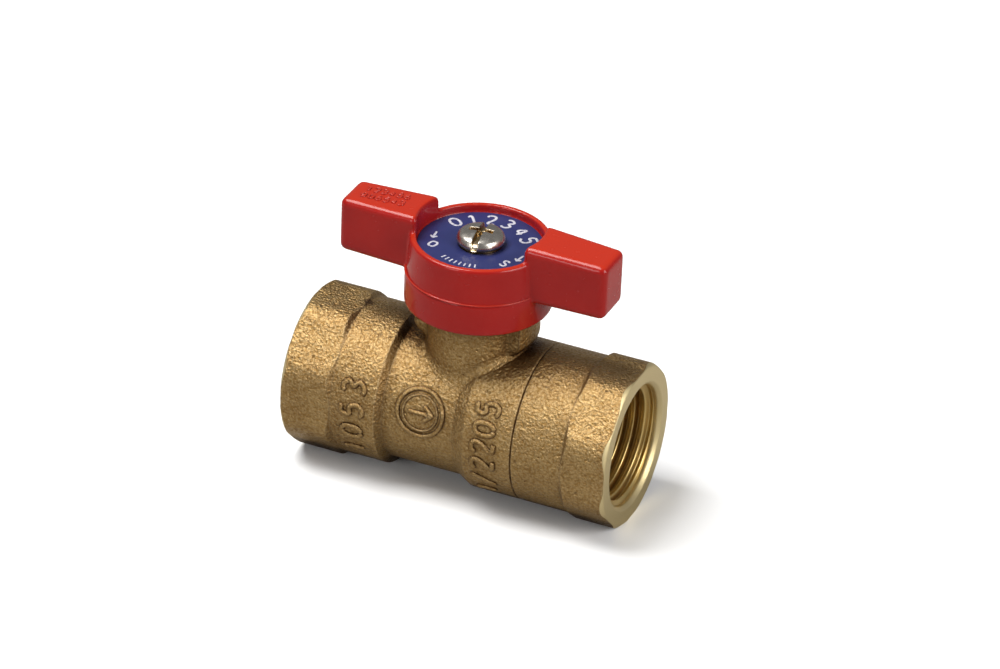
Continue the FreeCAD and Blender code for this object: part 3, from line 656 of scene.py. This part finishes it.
def neck_skin():
    """Profile in the plane of each direction: fillet curve, shaft, then a closed inside.

    Fillet: quadratic Bezier from the barrel, 1.3 mm out, to the neck, 1.2 mm up.
    Shaft: radius = 8.28 + 2.12 x ear(direction) x smoothstep(height 11.6 to 15.4 mm).
    Ear: 1 within 22 degrees of the pipe's line, falling to 0 at 30 degrees.
    """
    turn = np.linspace(0.0, 2 * np.pi, 288, endpoint=False)
    bend = np.linspace(0.0, 1.0, 10)[:, None]
    base, reach, rise = 8.28, 1.3, 1.2
    ground = barrel_top(base * np.cos(turn), base * np.sin(turn))
    outer = base + reach
    outer_ground = barrel_top(outer * np.cos(turn), outer * np.sin(turn)) - 0.12
    off_line = np.degrees(np.arcsin(np.abs(np.sin(turn))))
    ear = np.clip((30.0 - off_line) / 8.0, 0, 1)
    ear = ear ** 2 * (3 - 2 * ear)

    def shaft_radius(height):
        step = np.clip((height - 11.6) / 3.8, 0, 1)
        return base + 2.12 * ear * step ** 2 * (3 - 2 * step)

    weights = ((1 - bend) ** 2, 2 * bend * (1 - bend), bend ** 2)
    away = weights[0] * outer + weights[1] * (base + 0.05)
    away = away + weights[2] * shaft_radius(ground + rise)
    height = weights[0] * outer_ground + weights[1] * (ground + 0.05)
    height = height + weights[2] * (ground + rise)
    climb = np.linspace(0.0, 1.0, 30)[1:, None]
    shaft = (ground + rise) * (1 - climb) + NECK_TOP * climb
    core = np.full_like(turn, NECK_CORE)
    lid = np.stack([core, np.full_like(turn, NECK_TOP)], axis=-1)
    floor = np.stack([core, outer_ground - 1.2], axis=-1)
    skirt = np.stack([np.full_like(turn, outer), outer_ground - 1.2], axis=-1)
    outline = np.stack([np.concatenate([away, shaft_radius(shaft)]),
                        np.concatenate([height, shaft])], axis=-1)
    rows = np.concatenate([outline, lid[None], floor[None], skirt[None]])
    points = np.stack([rows[..., 0] * np.cos(turn), rows[..., 0] * np.sin(turn),
                       AXIS_Z + rows[..., 1]], axis=-1)
    return skin_mesh("neck_skin", [points], along=True)


finish_piece(neck_skin(), "valve_body", CAST_BRASS)


# %% [markdown]
# ## Strokes
# Raised casting marks and printed signs are both drawn with strokes. A stroke is a path in
# a flat drawing and a profile carried along it: a low half round for a cast mark, a thin
# flat ribbon for ink. The drawing is then laid on the curved or flat surface it belongs to.

# %% Strokes and figures
FIGURES = {
    "0": [(0.3, 0), (0.02, 0.2), (0.02, 0.8), (0.3, 1), (0.58, 0.8), (0.58, 0.2), (0.3, 0)],
    "1": [(0.08, 0.76), (0.34, 1.0), (0.34, 0.0)],
    "2": [(0.03, 0.78), (0.12, 1.0), (0.52, 1.0), (0.58, 0.62), (0.05, 0.0), (0.6, 0.0)],
    "3": [(0.04, 0.9), (0.3, 1.05), (0.62, 0.75), (0.26, 0.52), (0.66, 0.3), (0.3, -0.05),
          (0.02, 0.12)],
    "4": [(0.6, 0.28), (0.0, 0.28), (0.44, 1.0), (0.44, 0.0)],
    "5": [(0.56, 1.0), (0.1, 1.0), (0.08, 0.52), (0.5, 0.66), (0.62, 0.2), (0.36, -0.04),
          (0.02, 0.1)],
    "6": [(0.5, 0.98), (0.1, 0.85), (0.0, 0.2), (0.3, -0.03), (0.6, 0.2), (0.5, 0.56),
          (0.2, 0.58), (0.03, 0.35)],
    "9": [(0.1, 0.02), (0.5, 0.15), (0.6, 0.8), (0.3, 1.03), (0.0, 0.8), (0.1, 0.44),
          (0.4, 0.42), (0.57, 0.65)],
    "/": [(0.0, -0.1), (0.5, 1.1)],
    "O": [(0.35, 0), (0, 0.15), (0, 0.85), (0.35, 1), (0.7, 0.85), (0.7, 0.15), (0.35, 0)],
    "S": [(0.56, 0.84), (0.36, 1.04), (0.0, 0.92), (0.08, 0.56), (0.52, 0.5), (0.62, 0.1),
          (0.3, -0.06), (0.0, 0.16)],
}


def rounded(path, passes=2):
    """Chaikin's corner cutting: each corner gives way to points 1/4 and 3/4 along."""
    path = np.array(path, float)
    for _ in range(passes):
        near, far = path[:-1], path[1:]
        cut = np.stack([0.75 * near + 0.25 * far, 0.25 * near + 0.75 * far], axis=1)
        path = np.concatenate([path[:1], cut.reshape(-1, 2), path[-1:]])
    return path


def resample(path, step):
    """The same path with points at equal distances."""
    gap = np.hypot(*np.diff(path, axis=0).T)
    run = np.concatenate([[0.0], np.cumsum(gap)])
    at = np.linspace(0.0, run[-1], max(int(run[-1] / step), 4) + 1)
    u, v = path.T
    return np.stack([np.interp(at, run, u), np.interp(at, run, v)], axis=1)


def stroke(path, width, height, step=0.12, sides=12, blunt=1.0):
    """Rows of (u, v, lift) round a path: u, v = path + normal x width/2 x cos(t),
    lift = height x sin(t)^blunt above the surface and a little below it.

    The ends close by a factor sqrt(1 - (1 - distance/half width)^2).
    """
    path = resample(path, step)
    along = np.gradient(path, axis=0)
    along /= np.maximum(np.hypot(*along.T), 1e-9)[:, None]
    normal = np.stack([-along[:, 1], along[:, 0]], axis=1)
    run = np.arange(len(path)) * np.hypot(*(path[1] - path[0]))
    near_end = np.minimum(run, run[::-1]) / (width / 2)
    shut = np.sqrt(np.clip(1 - (1 - np.clip(near_end, 0, 1)) ** 2, 0, 1))
    t = np.linspace(0.0, 2 * np.pi, sides, endpoint=False)
    side = np.cos(t)[None, :] * (width / 2) * shut[:, None]
    profile = np.where(np.sin(t) > 0, np.abs(np.sin(t)) ** blunt, -0.12) * height
    lift = profile[None, :] * np.maximum(shut, 0.05)[:, None]
    lift = np.where(shut[:, None] < 1e-6, 0.0, lift)
    flat = path[:, None, :] + normal[:, None, :] * side[..., None]
    return np.concatenate([flat, lift[..., None]], axis=-1)


def written(text, size, gap=0.32):
    """Paths of a line of figures, `size` high, centred on (0, 0)."""
    paths, pen = [], 0.0
    for figure in text:
        paths.append(rounded(FIGURES[figure]) * size + (pen, -size / 2))
        pen += (0.6 + gap) * size
    middle = (pen - gap * size) / 2
    return [path - (middle, 0.0) for path in paths]


def on_pipe(drawing, radius, x, degrees):
    """Lay (u, v, lift) on the barrel: v runs round it upwards, u along the X axis."""
    angle = np.radians(degrees) + drawing[..., 1] / radius
    away = radius + drawing[..., 2]
    return np.stack([x + drawing[..., 0], -away * np.cos(angle),
                     AXIS_Z + away * np.sin(angle)], axis=-1)


# %% [markdown]
# Cast marks on the collars read upwards round the pipe, and are soft and shallow, as sand
# prints them. They are plain numbers: a size and a pattern number. On the front of the
# barrel there is a double ring with an arrow in it, which shows the direction of flow.

# %% Cast marks
def turned_up(path):
    """A path turned a quarter, so that a line of text climbs round the pipe."""
    return np.stack([-path[:, 1], path[:, 0]], axis=1)


def collar_mark(name, text, size, gap, x, degrees):
    """A number cast on a collar, as half-round strokes 0.95 mm wide."""
    grids = [on_pipe(stroke(turned_up(path), 0.95, 0.36), COLLAR_RADIUS, x, degrees)
             for path in written(text, size, gap)]
    return skin_mesh(name, grids)


def flow_mark():
    """Rings of radius 4.1 and 3.1 mm, and an arrow of two strokes inside them.

    Each ring runs 0.3 rad past its start, so that its two soft ends bury each other.
    """
    turn = np.linspace(0.0, 2 * np.pi + 0.3, 76)
    ring = np.stack([4.1 * np.cos(turn), 4.1 * np.sin(turn)], axis=1)
    inner = ring * (3.1 / 4.1)
    shaft = np.array([(-2.2, 0.0), (2.1, 0.0)])
    head = np.array([(0.55, 1.45), (2.2, 0.0), (0.55, -1.45)])
    grids = [stroke(path, 0.8, 0.36) for path in (ring, shaft, head)]
    grids.append(stroke(inner, 0.45, 0.2))
    return skin_mesh("flow_mark", [on_pipe(g, BARREL_RADIUS, -4.6, 14.5) for g in grids])


for mark in (flow_mark(),
             collar_mark("cast_number_inlet", "1053", 3.9, 0.45, -16.3, -4.0),
             collar_mark("cast_number_outlet", "1/2205", 3.8, 0.28, 7.5, -4.0)):
    finish_piece(mark, "valve_body", CAST_BRASS)


# %% [markdown]
# ## The handle's enamel
# The CAD handle has true edges, but enamel never does: it rounds each edge and fills each
# inner corner. Beveling every edge by hand would be slow. A voxel remesh instead rebuilds
# the skin from a fine grid of cells, and a few passes of smoothing relax it, which gives
# just the soft corners of a thick coat. The copy's doubles are merged first, because a
# remesh needs a closed skin.

# %% Enamelled handle
def enamelled_handle():
    """A copy of the CAD handle, remeshed in 0.27 mm cells and relaxed five times."""
    mesh = frame["nodes"]["handle"].data.copy()
    mesh.name = "handle_enamel"
    build = bmesh.new()
    build.from_mesh(mesh)
    bmesh.ops.remove_doubles(build, verts=build.verts, dist=1e-6)
    build.to_mesh(mesh)
    build.free()
    piece = bpy.data.objects.new("handle_enamel", mesh)
    bpy.context.scene.collection.objects.link(piece)
    cells = piece.modifiers.new("cells", "REMESH")
    cells.mode, cells.voxel_size, cells.adaptivity = "VOXEL", 0.27 * MM, 0.0
    relax = piece.modifiers.new("relax", "SMOOTH")
    relax.factor, relax.iterations = 0.5, 5
    seen = piece.evaluated_get(bpy.context.evaluated_depsgraph_get())
    finished = bpy.data.meshes.new_from_object(seen)
    piece.modifiers.clear()
    piece.data = finished
    finished.polygons.foreach_set("use_smooth", np.ones(len(finished.polygons), bool))
    print("handle_enamel:", len(finished.polygons), "faces")
    return piece


handle = finish_piece(enamelled_handle(), "handle_and_stem", RED_ENAMEL)
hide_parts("handle")


# %% [markdown]
# The cup steps in at half height, and the enamel gathers there in a narrow bead that
# catches the light as a fine line. A torus would be too even, so the bead's thickness
# wanders a little as it goes round.

# %% Bead on the handle's ledge
LEDGE_Z = HANDLE_LOW[2] + 5.62


def ledge_bead():
    """Torus of radius 12.17 mm whose tube is 0.17 mm + waves of 0.03 and 0.02 mm."""
    turn = np.linspace(0.0, 2 * np.pi, 240, endpoint=False)
    tube = np.linspace(0.0, 2 * np.pi, 12, endpoint=False)
    turn, tube = np.meshgrid(turn, tube, indexing="ij")
    thick = 0.17 + 0.03 * np.sin(7 * turn + 1.0) + 0.02 * np.sin(17 * turn + 2.0)
    away = 12.17 + thick * np.cos(tube)
    points = np.stack([away * np.cos(turn), away * np.sin(turn),
                       LEDGE_Z + 0.04 * np.sin(3 * turn) + thick * np.sin(tube)], axis=-1)
    return skin_mesh("ledge_bead", [points], along=True)


finish_piece(ledge_bead(), "handle_and_stem", RED_ENAMEL)


# %% [markdown]
# On top of one wing stand two rows of small raised figures, drowned in the enamel. They
# are plain numbers. The wing's top slopes, so their height follows a straight line
# from the root to the tip.

# %% Raised figures on the wing
WING_TIP = HANDLE_HIGH[0]
WING_SLOPE = 0.75 / WING_TIP
WING_ROOT_TOP = HANDLE_HIGH[2] + 10.6 * WING_SLOPE


def on_wing(drawing, x, y):
    """Lay (u, v, lift) on the sloping top of the left wing."""
    across = x + drawing[..., 0]
    height = WING_ROOT_TOP - WING_SLOPE * np.abs(across) + drawing[..., 2] - 0.03
    return np.stack([across, y + drawing[..., 1], height], axis=-1)


def wing_figures():
    """Two lines of numbers, 1.5 mm high, in strokes 0.42 mm wide."""
    grids = []
    for text, y in (("123456", 1.75), ("906543", -0.55)):
        for path in written(text, 1.45, gap=0.35):
            grids.append(on_wing(stroke(path, 0.42, 0.26, step=0.08), -17.6, y))
    return skin_mesh("wing_figures", grids)


finish_piece(wing_figures(), "handle_and_stem", RED_ENAMEL)


# %% [markdown]
# ## The label's print
# The disc under the screw is printed in white: O and S for open and shut, each with its
# arrow, a dial of numbers round the back and a scale of ticks at the front. The strokes
# are thin ribbons that stand 0.03 mm above the disc. Each sign is drawn upright, turned,
# and then moved out to its place on the dial.

# %% Print on the label
def on_label(drawing, distance, degrees, lean=0.0):
    """Turn a drawing so its top points outwards (lean adds to that) and move it out."""
    spin = np.radians(degrees - 90.0 + lean)
    u, v = drawing[..., 0], drawing[..., 1]
    x = distance * np.cos(np.radians(degrees)) + u * np.cos(spin) - v * np.sin(spin)
    y = distance * np.sin(np.radians(degrees)) + u * np.sin(spin) + v * np.cos(spin)
    return np.stack([x, y, LABEL_TOP + drawing[..., 2]], axis=-1)


def ribbon(path, width):
    """A flat stroke of ink, 0.03 mm thick, with square shoulders."""
    return stroke(path, width, 0.03, step=0.1, sides=8, blunt=0.2)


def arrow(length, width):
    """Paths of an arrow along v: a shaft and two barbs."""
    shaft = np.array([(0.0, -length / 2), (0.0, length / 2)])
    barbs = np.array([(-width, length / 2 - width), (0.0, length / 2),
                      (width, length / 2 - width)])
    return [shaft, barbs]


def label_print():
    """Numbers at the back, ticks in front, and the signs O and S with their arrows."""
    grids = []
    for text, degrees in zip("012345", (146.0, 124.0, 102.0, 80.0, 57.0, 35.0)):
        for path in written(text, 2.75):
            grids.append(on_label(ribbon(path, 0.50), 8.0, degrees))
    for degrees in np.arange(-118.0, -66.0, 6.5):
        tick = np.array([(0.0, -0.55), (0.0, 0.55)])
        grids.append(on_label(ribbon(tick, 0.30), 7.6, degrees))
    signs = (("O", 7.9, -151.0, 231.0), ("S", 7.5, -34.0, 104.0))
    for text, distance, degrees, lean in signs:
        for path in written(text, 1.75):
            grids.append(on_label(ribbon(path, 0.42), distance, degrees, lean))
    for distance, degrees, lean in ((7.9, -174.0, 90.0), (7.9, -11.0, -90.0)):
        for path in arrow(2.1, 0.62):
            grids.append(on_label(ribbon(path, 0.42), distance, degrees, lean))
    return skin_mesh("label_print", grids)


finish_piece(label_print(), "handle_and_stem", WHITE_INK)


# %% [markdown]
# ## The screw
# A pan head with a combined recess: one slot right across and a second, shorter pair of
# arms, so that either driver fits. The head is a grid in polar form. The height of its
# dome is a smooth curve of the radius, and the recess lowers it wherever a point falls
# inside an arm.

# %% Screw with a combined recess
HEAD_RADIUS = SCREW_HIGH[0]
HEAD_LOW = WASHER_TOP
RECESS_TURN = np.radians(97.0)


def arm(along, across, half_width, reach, edge=0.09):
    """1 inside an arm of the recess and 0 outside, with a wall `edge` wide."""
    inside = np.clip((half_width - np.abs(across)) / edge + 0.5, 0, 1)
    short = np.clip((reach - np.abs(along)) / 0.25 + 0.5, 0, 1)
    return inside * short


def machine_screw():
    """Dome z = top - 0.72 (r/R)^2.4 - 0.85 (r/R)^14, less the depth of the recess.

    The recess is the deeper of two crossed arms, with a pocket where they meet, and is
    nowhere deeper than 1.35 mm. Below the head come its flat seat and a plain shank.
    """
    turn = np.linspace(0.0, 2 * np.pi, 240, endpoint=False)
    away = np.concatenate([np.linspace(0.0, 3.0, 76), np.linspace(3.03, 4.0, 26),
                           [HEAD_RADIUS]])
    r, angle = np.meshgrid(away, turn, indexing="ij")
    share = r / HEAD_RADIUS
    dome = SCREW_HIGH[2] - 0.72 * share ** 2.4 - 0.85 * share ** 14
    u = r * np.cos(angle - RECESS_TURN)
    v = r * np.sin(angle - RECESS_TURN)
    slot = arm(u, v, 0.50, 9.0) * 0.85
    cross = arm(v, u, 0.46, 1.95)
    well = np.clip((1.35 - r) / 0.5, 0, 1) * 0.55
    depth = np.maximum(np.maximum(slot, cross * (1.15 - 0.28 * r)),
                       well * np.maximum(slot > 0.4, cross > 0.4) * 2.4)
    head = dome - np.minimum(depth, 1.35)
    outline = np.array([
        (HEAD_RADIUS, HEAD_LOW + 0.22), (HEAD_RADIUS - 0.16, HEAD_LOW + 0.02),
        (2.0, HEAD_LOW + 0.02), (2.0, SCREW_LOW[2] + 0.4), (1.6, SCREW_LOW[2]),
        (0.0, SCREW_LOW[2])])
    below = outline[:, None, :] * np.ones((1, len(turn), 1))
    radius = np.concatenate([r, below[..., 0]])
    height = np.concatenate([head, below[..., 1]])
    angle = np.concatenate([angle, np.ones((len(outline), 1)) * turn])
    points = np.stack([radius * np.cos(angle), radius * np.sin(angle), height], axis=-1)
    return skin_mesh("machine_screw", [points])


screw = finish_piece(machine_screw(), "handle_and_stem", NICKEL_PLATE)
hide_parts("handle_screw")

# %% [markdown]
# ## Floor, light and camera
# The valve rests on its wrench flats on a plain pale floor. White paper under an object
# throws so much light back up that the metal's shaded side turns pale. The Light Path node
# tells rays from the camera apart from the rest, so the paper can look white in the
# picture and still throw back only a third.

# %% Floor
def pale_floor():
    """A flat sheet 6 m wide at z = 0, pale and matt, that throws back only a third."""
    mesh = bpy.data.meshes.new("studio_floor")
    corners = np.array([(-3, -3, 0), (3, -3, 0), (3, 3, 0), (-3, 3, 0)], float)
    mesh.from_pydata(corners, [], [(0, 1, 2, 3)])
    floor = bpy.data.objects.new("studio_floor", mesh)
    bpy.context.scene.collection.objects.link(floor)
    material, tree, shader = new_material("studio_paper", Roughness=0.9)
    place = add_node(tree, "TexCoord").outputs["Object"]
    seen = blend_colours(tree, noise(tree, place, 60.0, 2.0), (0.92, 0.92, 0.915, 1),
                         (0.94, 0.94, 0.935, 1))
    camera_ray = add_node(tree, "LightPath").outputs["Is Camera Ray"]
    colour = blend_colours(tree, camera_ray, (0.34, 0.33, 0.31, 1), seen)
    tree.links.new(colour, shader.inputs["Base Color"])
    mesh.materials.append(material)


pale_floor()


# %% [markdown]
# A large soft light above and to the left is the main one. A weaker one from the right
# lights the end face and the threads, and a third, low in front, opens up the shaded side.
# The world behind is pale for the camera and dim for everything else, for the same reason
# as the floor. The Standard view keeps the paint's own strong red and blue.

# %% Lights and world
def soft_light(name, place, power, size):
    """A square area light at `place` (metres), aimed at the middle of the valve."""
    data = bpy.data.lights.new(name, "AREA")
    data.energy, data.size = power, size
    light = bpy.data.objects.new(name, data)
    light.location = place
    aim = Vector((0, 0, 0.025)) - Vector(place)
    light.rotation_euler = aim.to_track_quat("-Z", "Y").to_euler()
    bpy.context.scene.collection.objects.link(light)


soft_light("key_light", (-0.34, -0.10, 0.82), 9.0, 0.5)
soft_light("fill_light", (0.68, -0.12, 0.40), 4.2, 0.45)
soft_light("front_light", (-0.30, -0.9, 0.40), 2.0, 0.35)
world = bpy.data.worlds.new("studio")
bpy.context.scene.world = world
world.use_nodes = True
studio = world.node_tree
ray = add_node(studio, "LightPath").outputs["Is Camera Ray"]
around = blend_colours(studio, ray, (0.20, 0.20, 0.205, 1), (0.95, 0.95, 0.95, 1))
studio.links.new(around, studio.nodes["Background"].inputs[0])
bpy.context.scene.view_settings.view_transform = "Standard"

# %% [markdown]
# The camera is long, more than three times a normal lens, which keeps the two ends of the
# valve nearly the same size. Its direction is given as three unit vectors, the columns of
# its rotation matrix: its right, its up, and the way back from the valve to the camera.

# %% Camera
camera_data = bpy.data.cameras.new("camera")
camera_data.lens, camera_data.sensor_width = 173.94, 36.0
camera_data.clip_start, camera_data.clip_end = 0.05, 20.0
camera = bpy.data.objects.new("camera", camera_data)
right = Vector((0.91056004, 0.41163204, 0.03794053))
up = Vector((-0.24000466, 0.4517073, 0.85927777))
back = Vector((0.33656824, -0.7915299, 0.51010022))
turned = Matrix((right, up, back)).transposed().to_4x4()
camera.matrix_world = Matrix.Translation((0.272094, -0.630166, 0.434004)) @ turned
bpy.context.scene.collection.objects.link(camera)
bpy.context.scene.camera = camera
print("camera at", tuple(round(value, 3) for value in camera.location))
